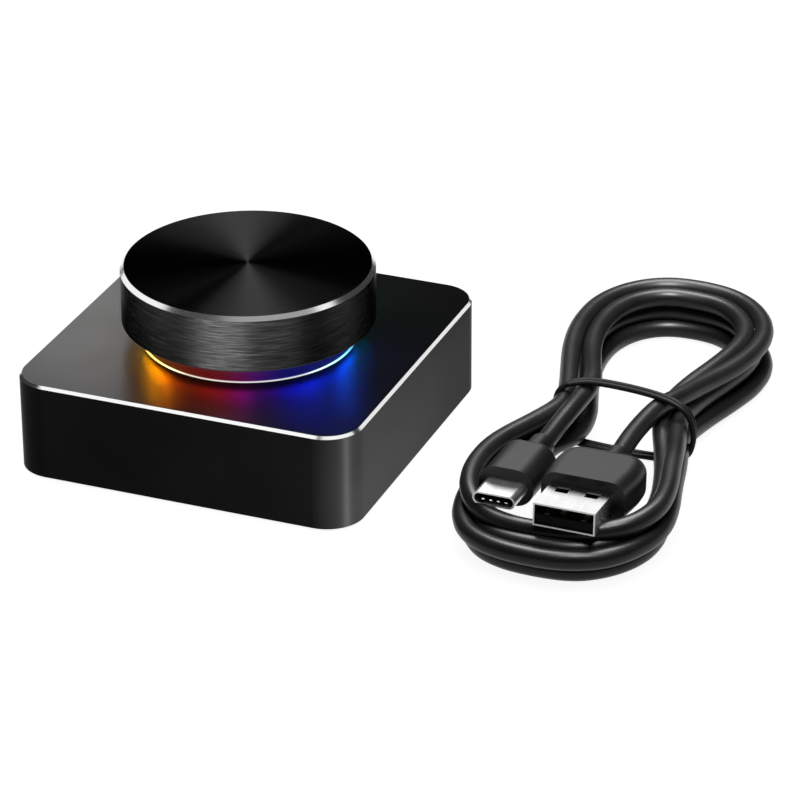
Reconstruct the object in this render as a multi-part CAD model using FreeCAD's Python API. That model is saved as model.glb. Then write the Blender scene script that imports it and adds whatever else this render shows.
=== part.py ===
import FreeCAD, Part
import math
import os

# Desk volume control knob with a USB-C socket, and its USB-C to USB-A cable.
# Millimetres. Origin: centre of the base's footprint, on the desk. +Z up,
# -Y is the front face, the cable socket is in the +Y (rear) face.

os.makedirs("parts", exist_ok=True)
V = FreeCAD.Vector

# ---------------------------------------------------------------- base casing
base_side = 70.0          # square base, outside
base_corner_r = 7.3       # vertical corners
base_top_z = 19.7         # top face above the desk
base_chamfer = 0.5        # bright cut edge round the top face
wall = 2.5                # side wall
ceiling = 2.5             # top wall
pad_proud = 0.4           # the foot pad stands this far below the casing
boss_side = 9.0           # corner blocks for the bottom screws
boss_at = 28.3            # screw centres in the corner blocks
light_hole_d = 41.2       # opening in the top face for the light guide
light_hole_chamfer = 0.3  # bright cut edge round that opening

# ---------------------------------------------------------------- bottom
plate_t = 2.5
plate_gap = 0.1
pad_side = 50.0
pad_t = 1.2
pad_r = 8.0
screw_head_d = 4.7        # M2.5 countersunk
screw_d = 2.5
screw_len = 8.0

# ---------------------------------------------------------------- knob
knob_d = 49.2
knob_bottom_z = 23.7
knob_top_z = 35.1
knob_chamfer = 0.75
knob_low_chamfer = 0.4
knob_top_t = 2.5
knob_wall = 2.2
press_travel = 0.5

# ---------------------------------------------------------------- light guide
guide_d = 41.0
guide_top_z = 20.6        # disc inside the ring, clear of the pressed knob's hub
guide_ring_z = 22.7       # top of the ring, clear of the pressed knob's edge
guide_ring_w = 2.4
guide_flange_d = 44.6
guide_flange_t = 1.2
guide_bore_d = 7.6

# ---------------------------------------------------------------- board
board_side = 64.0
board_z = 6.9
board_t = 1.6
board_notch = 10.6        # corner cut-outs that clear the corner blocks
post_x = 27.5             # posts that carry the board
post_y = 12.0
post_d = 5.0
led_ring_r = 18.5
led_side = 5.0
led_h = 1.6

# ---------------------------------------------------------------- encoder
enc_side = 12.0
enc_base_h = 4.6
bush_plate_t = 1.9
bush_d = 7.0
bush_top_z = 20.4
shaft_d = 6.0
shaft_clear = 0.03        # radial running clearance in the bushing
shaft_top_z = 31.0
shaft_flat = 1.5          # flat of the D, from the axis
lower_d = 4.5
lower_flat = 1.5

# ---------------------------------------------------------------- USB-C socket
socket_w = 8.94
socket_h = 3.26
socket_len = 7.35
socket_front_y = 34.7

# ---------------------------------------------------------------- cable
cable_d = 3.9
plug_a_pos = (76.9, -34.4, 11.75)   # centre of the USB-A shell's mouth
plug_a_yaw = -0.6
plug_a_pitch = -3.3                 # the tail lies a little lower than the nose
plug_a_len = 9.9                    # shell showing in front of the grip
plug_c_pos = (62.0, -30.8, 10.9)
plug_c_yaw = -0.6
plug_c_pitch = -2.0
plug_c_len = 6.4
hank_h = 12.6                       # four strands, one on another

board_top = board_z + board_t
half = base_side / 2.0


def box(x0, y0, z0, x1, y1, z1):
    return Part.makeBox(x1 - x0, y1 - y0, z1 - z0, V(x0, y0, z0))


def cyl(x, y, z0, z1, d):
    return Part.makeCylinder(d / 2.0, z1 - z0, V(x, y, z0), V(0, 0, 1))


def cone(x, y, z0, z1, d0, d1):
    return Part.makeCone(d0 / 2.0, d1 / 2.0, z1 - z0, V(x, y, z0), V(0, 0, 1))


def vertical_edges(shape, x_min=0.0):
    out = []
    for e in shape.Edges:
        if len(e.Vertexes) != 2:
            continue
        a, b = e.Vertexes[0].Point, e.Vertexes[1].Point
        if abs(a.x - b.x) < 1e-6 and abs(a.y - b.y) < 1e-6 and abs(a.z - b.z) > 1e-3:
            if min(abs(a.x), abs(a.y)) >= x_min:
                out.append(e)
    return out


def rounded_plate(side, r, z0, z1):
    b = box(-side / 2, -side / 2, z0, side / 2, side / 2, z1)
    return b.makeFillet(r, vertical_edges(b))


def ring_solid(profile):
    """Solid of revolution about Z from a closed list of (radius, z)."""
    pts = [V(r, 0, z) for r, z in profile]
    wire = Part.makePolygon(pts + [pts[0]])
    return Part.Face(wire).revolve(V(0, 0, 0), V(0, 0, 1), 360)


def save(name, *solids):
    if len(solids) == 1:
        s = solids[0]
        if s.ShapeType == "Compound" and len(s.Solids) == 1:
            s = s.Solids[0]
    else:
        s = Part.makeCompound([k for q in solids for k in q.Solids])
    ok = all(k.isValid() for k in s.Solids)
    s.exportStep("parts/%s.step" % name)
    b = s.BoundBox
    print("%-22s solids %2d valid %s vol %9.1f  x %.2f..%.2f y %.2f..%.2f z %.2f..%.2f"
          % (name, len(s.Solids), ok, s.Volume, b.XMin, b.XMax, b.YMin, b.YMax, b.ZMin, b.ZMax))
    return s


# ================================================================ housing
outer = rounded_plate(base_side, base_corner_r, pad_proud, base_top_z)
top_edges = [e for e in outer.Edges if all(abs(v.Point.z - base_top_z) < 1e-6 for v in e.Vertexes)]
outer = outer.makeChamfer(base_chamfer, top_edges)
inner_side = base_side - 2 * wall
ceiling_z = base_top_z - ceiling
hollow = rounded_plate(inner_side, base_corner_r - wall, pad_proud - 1.0, ceiling_z)
housing = outer.cut(hollow)
plate_top = pad_proud + plate_t
for sx in (-1, 1):
    for sy in (-1, 1):
        bx, by = sx * boss_at, sy * boss_at
        b = box(min(bx - sx * 4.5, sx * (half - 1.0)), min(by - sy * 4.5, sy * (half - 1.0)), plate_top,
                max(bx - sx * 4.5, sx * (half - 1.0)), max(by - sy * 4.5, sy * (half - 1.0)), ceiling_z + 0.5)
        b = b.common(rounded_plate(base_side - 1.0, base_corner_r - 0.5, 0, base_top_z - 1.0))
        housing = housing.fuse(b)
for sx in (-1, 1):
    for sy in (-1, 1):
        housing = housing.fuse(cyl(sx * post_x, sy * post_y, board_top, ceiling_z + 0.5, post_d))
housing = housing.removeSplitter()
for sx in (-1, 1):
    for sy in (-1, 1):
        housing = housing.cut(cyl(sx * boss_at, sy * boss_at, plate_top - 1.0, plate_top + 7.6, screw_d + 0.02))
        housing = housing.cut(cyl(sx * post_x, sy * post_y, board_top - 1.0, board_top + 4.2, 2.02))
housing = housing.cut(cyl(0, 0, ceiling_z - 1.0, base_top_z + 1.0, light_hole_d))
housing = housing.cut(cone(0, 0, base_top_z - light_hole_chamfer, base_top_z + 0.2, light_hole_d, light_hole_d + 2 * (light_hole_chamfer + 0.2)))
# opening for the plug: a slot with round ends through the rear wall
socket_z = board_top + socket_h / 2.0
slot_w, slot_h = 9.6, 3.9
slot = box(-slot_w / 2 + slot_h / 2, half - wall - 1.0, socket_z - slot_h / 2,
           slot_w / 2 - slot_h / 2, half + 1.0, socket_z + slot_h / 2)
for sx in (-1, 1):
    slot = slot.fuse(Part.makeCylinder(slot_h / 2, wall + 2.0, V(sx * (slot_w / 2 - slot_h / 2), half - wall - 1.0, socket_z), V(0, 1, 0)))
housing = housing.cut(slot)
save("housing", housing)

# ================================================================ bottom plate
plate_side = inner_side - 2 * plate_gap
plate = rounded_plate(plate_side, base_corner_r - wall - plate_gap, pad_proud, plate_top)
plate = plate.cut(rounded_plate(pad_side + 0.2, pad_r, pad_proud - 1.0, pad_proud + (pad_t - pad_proud)))
screws = []
for sx in (-1, 1):
    for sy in (-1, 1):
        x, y = sx * boss_at, sy * boss_at
        plate = plate.cut(cyl(x, y, pad_proud - 1, plate_top + 1, screw_d + 0.3))
        plate = plate.cut(cone(x, y, pad_proud, pad_proud + 1.15, screw_head_d + 0.2, screw_d + 0.3))
        s = cone(x, y, pad_proud, pad_proud + 1.1, screw_head_d, screw_d)
        s = s.fuse(cyl(x, y, pad_proud + 1.1, pad_proud + screw_len, screw_d))
        # cross recess
        s = s.cut(box(x - 1.2, y - 0.25, pad_proud - 1, x + 1.2, y + 0.25, pad_proud + 0.8))
        s = s.cut(box(x - 0.25, y - 1.2, pad_proud - 1, x + 0.25, y + 1.2, pad_proud + 0.8))
        screws.append(s.removeSplitter())
save("bottom_plate", plate)
save("bottom_screws", *screws)

# ================================================================ foot pad
pad = rounded_plate(pad_side, pad_r - 0.1, 0.0, pad_t)
save("foot_pad", pad)

# ================================================================ light guide
guide = ring_solid([(guide_bore_d / 2, ceiling_z - guide_flange_t), (guide_flange_d / 2, ceiling_z - guide_flange_t),
                    (guide_flange_d / 2, ceiling_z), (guide_d / 2, ceiling_z),
                    (guide_d / 2, guide_ring_z - 0.4), (guide_d / 2 - 0.4, guide_ring_z),
                    (guide_d / 2 - guide_ring_w, guide_ring_z), (guide_d / 2 - guide_ring_w - 0.4, guide_top_z),
                    (guide_bore_d / 2, guide_top_z)])
save("light_guide", guide)

# ================================================================ main board
board = box(-board_side / 2, -board_side / 2, board_z, board_side / 2, board_side / 2, board_top)
for sx in (-1, 1):
    for sy in (-1, 1):
        cx, cy = sx * board_side / 2, sy * board_side / 2
        board = board.cut(box(min(cx, cx - sx * board_notch), min(cy, cy - sy * board_notch), board_z - 1,
                              max(cx, cx - sx * board_notch), max(cy, cy - sy * board_notch), board_top + 1))
        board = board.cut(cyl(sx * post_x, sy * post_y, board_z - 1, board_top + 1, 2.3))
# slots for the encoder's legs and holes for its pins
leg_x = enc_side / 2 + 0.05
pin_y = enc_side / 2 + 0.05
pins = [(-2.5, -1), (0.0, -1), (2.5, -1), (-2.5, 1), (2.5, 1)]
for sx in (-1, 1):
    board = board.cut(box(sx * leg_x - (0.0 if sx > 0 else 0.7) - 0.1, -1.3, board_z - 1,
                          sx * leg_x + (0.7 if sx > 0 else 0.0) + 0.1, 1.3, board_top + 1))
for px, sy in pins:
    board = board.cut(cyl(px, sy * (pin_y + 0.2), board_z - 1, board_top + 1, 1.1))
save("main_board", board)

board_screws = []
for sx in (-1, 1):
    for sy in (-1, 1):
        x, y = sx * post_x, sy * post_y
        s = cyl(x, y, board_z - 1.3, board_z, 3.8).fuse(cyl(x, y, board_z, board_z + 5.4, 2.0))
        s = s.cut(box(x - 1.0, y - 0.2, board_z - 2.3, x + 1.0, y + 0.2, board_z - 0.6))
        s = s.cut(box(x - 0.2, y - 1.0, board_z - 2.3, x + 0.2, y + 1.0, board_z - 0.6))
        board_screws.append(s.removeSplitter())
save("board_screws", *board_screws)

# ================================================================ LEDs in a ring under the light guide
leds = []
for k in range(8):
    a = math.radians(22.5 + 45.0 * k)
    b = box(-led_side / 2, -led_side / 2, board_top, led_side / 2, led_side / 2, board_top + led_h)
    b = b.cut(cone(0, 0, board_top + led_h - 0.5, board_top + led_h + 0.001, 3.2, 4.0))
    b.rotate(V(0, 0, 0), V(0, 0, 1), math.degrees(a))
    b.translate(V(led_ring_r * math.cos(a), led_ring_r * math.sin(a), 0))
    leds.append(b)
save("rgb_leds", *leds)

# ================================================================ controller chip and small parts
chip = box(-3.5, -29.5, board_top + 0.1, 3.5, -22.5, board_top + 1.4)
chip = chip.fuse(box(-2.5, -28.5, board_top, 2.5, -23.5, board_top + 0.1)).removeSplitter()
save("controller_chip", chip)
small = [
    box(6.0, -28.6, board_top, 9.2, -26.1, board_top + 0.8),      # crystal
    box(-11.5, -28.6, board_top, -8.6, -25.6, board_top + 1.1),   # regulator
    box(-15.5, -28.0, board_top, -13.5, -26.75, board_top + 0.8),
    box(12.0, -28.0, board_top, 14.0, -26.75, board_top + 0.8),
    box(7.5, 27.0, board_top, 10.4, 28.6, board_top + 1.1),       # surge clamp beside the socket
    box(-10.4, 27.0, board_top, -7.5, 28.6, board_top + 1.1),     # series inductor
    box(7.0, -24.4, board_top, 8.6, -23.6, board_top + 0.5),
    box(-8.6, -24.4, board_top, -7.0, -23.6, board_top + 0.5),
    box(-28.5, -3.0, board_top, -25.3, -0.5, board_top + 1.2),    # bulk capacitor
    box(25.3, -3.0, board_top, 28.5, -0.5, board_top + 1.2),
]
save("board_parts", *small)

# ================================================================ USB-C socket on the rear edge of the board
def stadium(w, h, y0, y1, cx=0.0, cz=0.0):
    b = box(cx - w / 2 + h / 2, y0, cz - h / 2, cx + w / 2 - h / 2, y1, cz + h / 2)
    for s in (-1, 1):
        b = b.fuse(Part.makeCylinder(h / 2, y1 - y0, V(cx + s * (w / 2 - h / 2), y0, cz), V(0, 1, 0)))
    return b.removeSplitter()


sock = stadium(socket_w, socket_h - 0.02, socket_front_y - socket_len, socket_front_y, 0, socket_z)
sock = sock.cut(stadium(socket_w - 0.6, socket_h - 0.62, socket_front_y - socket_len + 0.9, socket_front_y + 1, 0, socket_z))
save("usb_c_socket_shell", sock)
tongue = box(-3.34, socket_front_y - socket_len + 0.9, socket_z - 0.35, 3.34, socket_front_y - 0.9, socket_z + 0.35)
tongue = tongue.fuse(box(-3.9, socket_front_y - socket_len + 0.9, socket_z - 1.0, 3.9, socket_front_y - socket_len + 2.2, socket_z + 1.0)).removeSplitter()
save("usb_c_socket_tongue", tongue)

# ================================================================ rotary encoder with push switch
e2 = enc_side / 2
enc_top = board_top + enc_base_h
cavity_floor = board_top + 2.1
enc = box(-e2, -e2, board_top, e2, e2, enc_top)
enc = enc.cut(cyl(0, 0, cavity_floor, enc_top + 1, 9.8))
enc = enc.cut(cyl(0, 0, board_top + 0.4, cavity_floor + 0.1, 5.6))
save("encoder_base", enc)

bush_plate_top = enc_top + bush_plate_t
bush = box(-e2, -e2, enc_top, e2, e2, bush_plate_top)
bush = bush.fuse(cyl(0, 0, bush_plate_top, bush_top_z, bush_d))
for sx in (-1, 1):
    x0 = sx * leg_x
    x1 = sx * (leg_x + 0.5)
    bush = bush.fuse(box(min(x0, x1), -1.05, board_z - 1.2, max(x0, x1), 1.05, bush_plate_top))
    bush = bush.fuse(box(min(sx * e2, x1), -1.05, enc_top, max(sx * e2, x1), 1.05, bush_plate_top))
bush = bush.removeSplitter()
bush = bush.cut(cyl(0, 0, enc_top - 1, bush_top_z + 1, shaft_d + 2 * shaft_clear))
collar_room_top = enc_top + 1.05
bush = bush.cut(cyl(0, 0, enc_top - 1, collar_room_top, 7.9))
save("encoder_bushing", bush)

pin_solids = []
for px, sy in pins:
    y0, y1 = sy * e2, sy * (e2 + 0.5)
    pin_solids.append(box(px - 0.4, min(y0, y1), board_z - 1.4, px + 0.4, max(y0, y1), board_top + 1.2))
save("encoder_pins", *pin_solids)

# leaf ring whose nose drops into the rotor's notches
detent = ring_solid([(4.2, enc_top - 0.32), (4.85, enc_top - 0.32), (4.85, enc_top - 0.12), (4.2, enc_top - 0.12)])
save("detent_spring", detent)

# click dome of the push switch
dome_z0 = board_top + 0.4
dome = Part.makeSphere(6.0, V(0, 0, dome_z0 + 0.72 - 6.0)).cut(Part.makeSphere(5.9, V(0, 0, dome_z0 + 0.72 - 6.0)))
dome = dome.common(cyl(0, 0, dome_z0 + 0.001, dome_z0 + 3, 5.2))
save("switch_dome", dome)

# plunger between the shaft's end and the dome
plunger_z0 = dome_z0 + 0.76
plunger = cyl(0, 0, plunger_z0, plunger_z0 + 0.3, 3.6).fuse(cyl(0, 0, plunger_z0 + 0.3, plunger_z0 + 0.8, 2.0)).removeSplitter()
save("switch_plunger", plunger)
shaft_bottom_z = plunger_z0 + 0.84

# rotor disc: turns with the shaft, the shaft slides through it when pressed
rotor_z0 = cavity_floor + 0.3
rotor_z1 = enc_top - 0.45
rotor = ring_solid([(0.0, rotor_z0), (4.6, rotor_z0), (4.6, rotor_z0 + 1.0), (3.6, rotor_z0 + 1.0), (3.6, rotor_z1), (0.0, rotor_z1)])


def d_bar(d, flat, z0, z1):
    c = cyl(0, 0, z0, z1, d)
    return c.cut(box(-d, flat, z0 - 1, d, d, z1 + 1))


rotor = rotor.cut(d_bar(lower_d + 0.12, lower_flat + 0.06, rotor_z0 - 1, rotor_z1 + 1))
# contact tracks: shallow radial grooves in the underside
for k in range(20):
    g = box(3.0, -0.18, rotor_z0 - 1, 4.3, 0.18, rotor_z0 + 0.15)
    g.rotate(V(0, 0, 0), V(0, 0, 1), 18.0 * k)
    rotor = rotor.cut(g)
save("encoder_rotor", rotor)
wipers = []
for k in range(3):
    a = box(3.75, -0.9, rotor_z0 + 1.0, 4.45, 0.9, rotor_z0 + 1.12)
    a.rotate(V(0, 0, 0), V(0, 0, 1), 120.0 * k)
    wipers.append(a)
save("rotor_wipers", *wipers)

shoulder_z = enc_top + 0.36
collar_z0 = shoulder_z
collar_z1 = collar_room_top - 0.04
shaft = d_bar(lower_d, lower_flat, shaft_bottom_z, shoulder_z)
shaft = shaft.fuse(cyl(0, 0, collar_z0, shaft_top_z, shaft_d))
shaft = shaft.fuse(cyl(0, 0, collar_z0, collar_z1, 7.4))
shaft = shaft.cut(box(-5, shaft_flat, bush_top_z + 1.0, 5, 5, shaft_top_z + 1))
shaft = shaft.removeSplitter()
top_rim = [e for e in shaft.Edges if all(abs(v.Point.z - shaft_top_z) < 1e-6 for v in e.Vertexes)]
try:
    shaft = shaft.makeChamfer(0.3, top_rim)
except Exception:
    pass
save("encoder_shaft", shaft)

# ================================================================ knob: turned shell and its insert
R = knob_d / 2
ri = R - knob_wall
insert_top = knob_top_z - knob_top_t
shell = ring_solid([(0.0, knob_top_z), (R - knob_chamfer, knob_top_z), (R, knob_top_z - knob_chamfer),
                    (R, knob_bottom_z + knob_low_chamfer), (R - knob_low_chamfer, knob_bottom_z),
                    (ri + 0.3, knob_bottom_z), (ri, knob_bottom_z + 0.3), (ri, insert_top), (0.0, insert_top)])
save("knob_shell", shell)

hub = ring_solid([(0.0, insert_top), (ri - 0.02, insert_top), (ri - 0.02, insert_top - 2.0), (7.0, insert_top - 2.0),
                  (6.0, insert_top - 3.0), (6.0, 22.4), (5.6, 22.0), (0.0, 22.0)])
for k in range(6):
    rib = box(5.5, -0.7, insert_top - 5.5, ri - 2.2, 0.7, insert_top - 1.0)
    rib.rotate(V(0, 0, 0), V(0, 0, 1), 30.0 + 60.0 * k)
    hub = hub.fuse(rib)
hub = hub.removeSplitter()
hub = hub.cut(d_bar(shaft_d + 0.02, shaft_flat + 0.01, bush_top_z + 1.2, shaft_top_z + 0.3))
hub = hub.cut(cyl(0, 0, 21.0, 22.8, shaft_d + 0.6))
save("knob_insert", hub)

# ================================================================ cable: plugs
def place(shape, pos, yaw, pitch):
    """Local frame: x across, +y from the mouth back along the plug, z up."""
    s = shape.copy()
    s.rotate(V(0, 0, 0), V(1, 0, 0), pitch)
    s.rotate(V(0, 0, 0), V(0, 0, 1), yaw)
    s.translate(V(*pos))
    return s


def point_of(local, pos, yaw, pitch):
    r = FreeCAD.Rotation(V(0, 0, 1), yaw).multiply(FreeCAD.Rotation(V(1, 0, 0), pitch))
    return r.multVec(V(*local)).add(V(*pos))


def soft_box(w, h, y0, y1, r_long, r_rear):
    """Moulded grip: a rounded section, with its rear plan corners rounded."""
    b = box(-w / 2, y0, -h / 2, w / 2, y1, h / 2)
    rear = [e for e in b.Edges if all(abs(v.Point.y - y1) < 1e-6 for v in e.Vertexes)
            and abs(e.Vertexes[0].Point.z - e.Vertexes[1].Point.z) > 1.0]
    b = b.makeFillet(r_rear, rear)
    long_edges = []
    for e in b.Edges:
        zs = [v.Point.z for v in e.Vertexes]
        ys = [v.Point.y for v in e.Vertexes]
        if all(abs(abs(z) - h / 2) < 1e-6 for z in zs) and max(ys) > y0 + 1e-6:
            if not all(abs(y - y0) < 1e-6 for y in ys):
                long_edges.append(e)
    return b.makeFillet(r_long, long_edges)


def full_grip(w_front, w_mid, w_rear, h, y0, y1, r_long, r_rear):
    """Moulded grip whose plan swells a little behind the front face."""
    ym = y0 + 0.52 * (y1 - y0)
    pts = [V(-w_front / 2, y0, -h / 2), V(-w_mid / 2, ym, -h / 2), V(-w_rear / 2, y1, -h / 2),
           V(w_rear / 2, y1, -h / 2), V(w_mid / 2, ym, -h / 2), V(w_front / 2, y0, -h / 2)]
    b = Part.Face(Part.makePolygon(pts + [pts[0]])).extrude(V(0, 0, h))
    mid = [e for e in b.Edges if all(abs(v.Point.y - ym) < 1e-6 for v in e.Vertexes) and abs(e.Vertexes[0].Point.z - e.Vertexes[1].Point.z) > 1.0]
    b = b.makeFillet(24.0, mid)
    rear = [e for e in b.Edges if all(abs(v.Point.y - y1) < 1e-6 for v in e.Vertexes) and abs(e.Vertexes[0].Point.z - e.Vertexes[1].Point.z) > 1.0]
    b = b.makeFillet(r_rear, rear)
    rim = []
    for e in b.Edges:
        if all(abs(abs(v.Point.z) - h / 2) < 1e-6 for v in e.Vertexes) and not all(abs(v.Point.y - y0) < 1e-6 for v in e.Vertexes):
            rim.append(e)
    return b.makeFillet(r_long, rim)


def frustum(d0, d1, y0, y1):
    return Part.makeCone(d0 / 2, d1 / 2, y1 - y0, V(0, y0, 0), V(0, 1, 0))


# USB-A plug
A = plug_a_len
a_shell = box(-6.0, 0, -2.25, 6.0, A + 3.0, 2.25)
a_shell = a_shell.cut(box(-5.7, -1, -1.95, 5.7, A + 2.7, 1.95))
for sx in (-1, 1):
    for sz in (-1, 1):
        cx = sx * 2.9
        a_shell = a_shell.cut(box(cx - 1.25, 6.0, sz * 1.0 if sz > 0 else -3.0, cx + 1.25, 8.2, 3.0 if sz > 0 else -1.0))
a_insul = box(-5.6, 0.5, -1.9, 5.6, A + 2.6, 0.0)
a_insul = a_insul.cut(box(-4.6, -0.1, -0.12, 4.6, 8.8, 0.5))
a_insul = a_insul.fuse(box(-5.6, A - 0.2, -1.9, 5.6, A + 2.6, 1.9)).removeSplitter()
a_contacts = []
for cx, y0 in ((-3.5, 0.9), (-1.0, 1.9), (1.0, 1.9), (3.5, 0.9)):
    a_contacts.append(box(cx - 0.5, y0, -0.12, cx + 0.5, 8.4, 0.06))
grip_a_len = 14.9
a_grip = full_grip(16.2, 17.5, 16.6, 8.4, A, A + grip_a_len, 2.8, 4.6)
a_grip = a_grip.fuse(frustum(5.0, 4.9, A + grip_a_len - 0.5, A + grip_a_len + 4.7)).removeSplitter()
a_grip = a_grip.cut(box(-6.0, A - 1, -2.25, 6.0, A + 3.0, 2.25))
lead_a_local_y = A + grip_a_len + 4.7
for nm, sh in (("usb_a_plug_shell", [a_shell]), ("usb_a_plug_insulator", [a_insul]),
               ("usb_a_plug_contacts", a_contacts), ("usb_a_plug_grip", [a_grip])):
    save(nm, *[place(q, plug_a_pos, plug_a_yaw, plug_a_pitch) for q in sh])

# USB-C plug
C = plug_c_len
def stad_y(w, h, y0, y1):
    return stadium(w, h, y0, y1)


c_shell = stad_y(8.34, 2.56, 0, C + 2.5).cut(stad_y(7.7, 1.92, -1, C + 2.2))
c_insul = stad_y(7.66, 1.88, 0.7, C + 2.1)
c_insul = c_insul.cut(box(-3.4, -1, -0.42, 3.4, C + 0.6, 0.42))
c_contacts = []
for k in range(4):
    cx = -2.25 + 1.5 * k
    c_contacts.append(box(cx - 0.25, 0.5, -0.42, cx + 0.25, C, -0.20))
grip_c_len = 13.5
prof = []
g = stad_y(10.8, 7.4, C, C + grip_c_len)
rear_edges = [e for e in g.Edges if all(abs(v.Point.y - (C + grip_c_len)) < 1e-6 for v in e.Vertexes)]
try:
    g = g.makeFillet(1.6, rear_edges)
except Exception:
    g = g.makeChamfer(1.0, rear_edges)
g = g.fuse(frustum(5.0, 4.9, C + grip_c_len - 0.5, C + grip_c_len + 5.4)).removeSplitter()
g = g.cut(stad_y(8.34, 2.56, C - 1, C + 2.5))
lead_c_local_y = C + grip_c_len + 5.4
for nm, sh in (("usb_c_plug_shell", [c_shell]), ("usb_c_plug_insulator", [c_insul]),
               ("usb_c_plug_contacts", c_contacts), ("usb_c_plug_grip", [g])):
    save(nm, *[place(q, plug_c_pos, plug_c_yaw, plug_c_pitch) for q in sh])

# ================================================================ cable: tubes along straight runs and tangent arcs
def tube_path(points):
    n = len(points)
    edges = []
    radii = []
    start = points[0]
    for i in range(1, n - 1):
        a, p, b = points[i - 1], points[i], points[i + 1]
        u = a.sub(p)
        w = b.sub(p)
        lu, lw = u.Length, w.Length
        u.normalize()
        w.normalize()
        turn = math.pi - u.getAngle(w)
        t = 0.45 * min(lu, lw)
        r = t / math.tan(turn / 2.0)
        p0 = p.add(V(u).multiply(t))
        p1 = p.add(V(w).multiply(t))
        bis = V(u).add(w)
        bis.normalize()
        centre = p.add(V(bis).multiply(r / math.cos(turn / 2.0)))
        m = centre.sub(V(bis).multiply(r))
        edges.append(Part.LineSegment(start, p0).toShape())
        edges.append(Part.Arc(p0, m, p1).toShape())
        radii.append((round(r, 1), round(math.degrees(turn), 1)))
        start = p1
    edges.append(Part.LineSegment(start, points[-1]).toShape())
    return Part.Wire(edges), radii


def tube(points, d, name):
    wire, radii = tube_path(points)
    direction = points[1].sub(points[0])
    prof = Part.Wire(Part.makeCircle(d / 2.0, points[0], direction))
    sweep = wire.makePipeShell([prof], True, False)
    print(name, "length %.1f" % wire.Length, "radii/turns", radii,
          "volume %.1f against %.1f" % (sweep.Volume, math.pi * d * d / 4 * wire.Length))
    return sweep


c_end = point_of((0, lead_c_local_y, 0), plug_c_pos, plug_c_yaw, plug_c_pitch)
c_dir = point_of((0, lead_c_local_y + 4.0, 0), plug_c_pos, plug_c_yaw, plug_c_pitch)
a_end = point_of((0, lead_a_local_y, 0), plug_a_pos, plug_a_yaw, plug_a_pitch)
a_dir = point_of((0, lead_a_local_y + 4.0, 0), plug_a_pos, plug_a_yaw, plug_a_pitch)
print("lead starts", c_end, a_end)
lead_c = tube([c_end, c_dir, V(62.9, 6.0, 10.3), V(63.4, 13.0, 10.5)], cable_d, "cable_lead_c")
lead_a = tube([a_end, a_dir, V(77.8, 8.6, 10.4), V(78.3, 13.5, 10.6)], cable_d, "cable_lead_a")
save("cable_lead_c", lead_c)
save("cable_lead_a", lead_a)


# ================================================================ cable: the hank, one closed band of the strands' outer shape
def rounded_loop(pts, z):
    n = len(pts)
    P = [V(x, y, z) for x, y in pts]
    info = []
    for i in range(n):
        a, p, b = P[i - 1], P[i], P[(i + 1) % n]
        u = a.sub(p)
        w = b.sub(p)
        lu, lw = u.Length, w.Length
        u.normalize()
        w.normalize()
        turn = math.pi - u.getAngle(w)
        t = 0.45 * min(lu, lw)
        if turn < 1e-3:
            info.append((p, None, p))
            continue
        r = t / math.tan(turn / 2.0)
        p0 = p.add(V(u).multiply(t))
        p1 = p.add(V(w).multiply(t))
        bis = V(u).add(w)
        bis.normalize()
        m = p.add(V(bis).multiply(r / math.cos(turn / 2.0) - r))
        info.append((p0, m, p1))
    edges = []
    for i in range(n):
        p0, m, p1 = info[i]
        q0 = info[(i + 1) % n][0]
        if m is not None:
            edges.append(Part.Arc(p0, m, p1).toShape())
        edges.append(Part.LineSegment(p1, q0).toShape())
    return Part.Wire(edges)


hank_outer = [(85.6, 14), (86.6, 24), (89.2, 36), (91.1, 48), (89.5, 59), (84.5, 67.5), (76, 72.3), (66, 73.2),
              (56.5, 70), (50.5, 62.5), (49.0, 52), (50.5, 41), (54.0, 29), (58.0, 17), (57.0, 6), (53.2, -5),
              (50.7, -16), (50.8, -26), (54.6, -34.5), (62.3, -39.6), (72.4, -41.1), (82.2, -39.9), (89.4, -34.5),
              (93.1, -26), (93.3, -16), (90.8, -6), (87.6, 4)]
hank_inner = [(76.2, 14), (77.5, 24), (80.0, 36), (81.8, 47), (80.0, 55), (74.5, 59.8), (66.5, 60.8),
              (60.0, 58.5), (57.8, 51), (58.6, 41), (61.8, 29), (65.4, 17), (62.6, 6), (57.0, -5),
              (55.4, -16), (55.8, -23), (60.8, -29.8), (70.4, -32.0), (79.8, -31.3), (86.3, -26.0), (88.2, -16),
              (85.5, -5.5), (81.3, 4)]
band = Part.Face(rounded_loop(hank_outer, 0.0)).extrude(V(0, 0, hank_h))
hole = Part.Face(rounded_loop(hank_inner, -1.0)).extrude(V(0, 0, hank_h + 2))
hank = band.cut(hole)
# the near end lies lower: its strands fan out under the plugs
slope = Part.Face(Part.makePolygon([V(45, -10, hank_h + 0.01), V(45, -24, 9.0), V(45, -45, 9.0), V(45, -45, 20),
                                    V(45, -10, 20), V(45, -10, hank_h + 0.01)])).extrude(V(55, 0, 0))
hank = hank.cut(slope)
# the far end falls away a little as well
slope2 = Part.Face(Part.makePolygon([V(45, 26, hank_h + 0.01), V(45, 44, 11.4), V(45, 80, 11.6), V(45, 80, 20),
                                     V(45, 26, 20), V(45, 26, hank_h + 0.01)])).extrude(V(55, 0, 0))
hank = hank.cut(slope2)
# groove for the tie at the waist
tie_w = 2.5
tie_t = 1.15
tie_y = 14.8
groove = box(45, tie_y - tie_w / 2 - 0.15, -1, 100, tie_y + tie_w / 2 + 0.15, tie_t + 0.1)
hank = hank.cut(groove)
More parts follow.
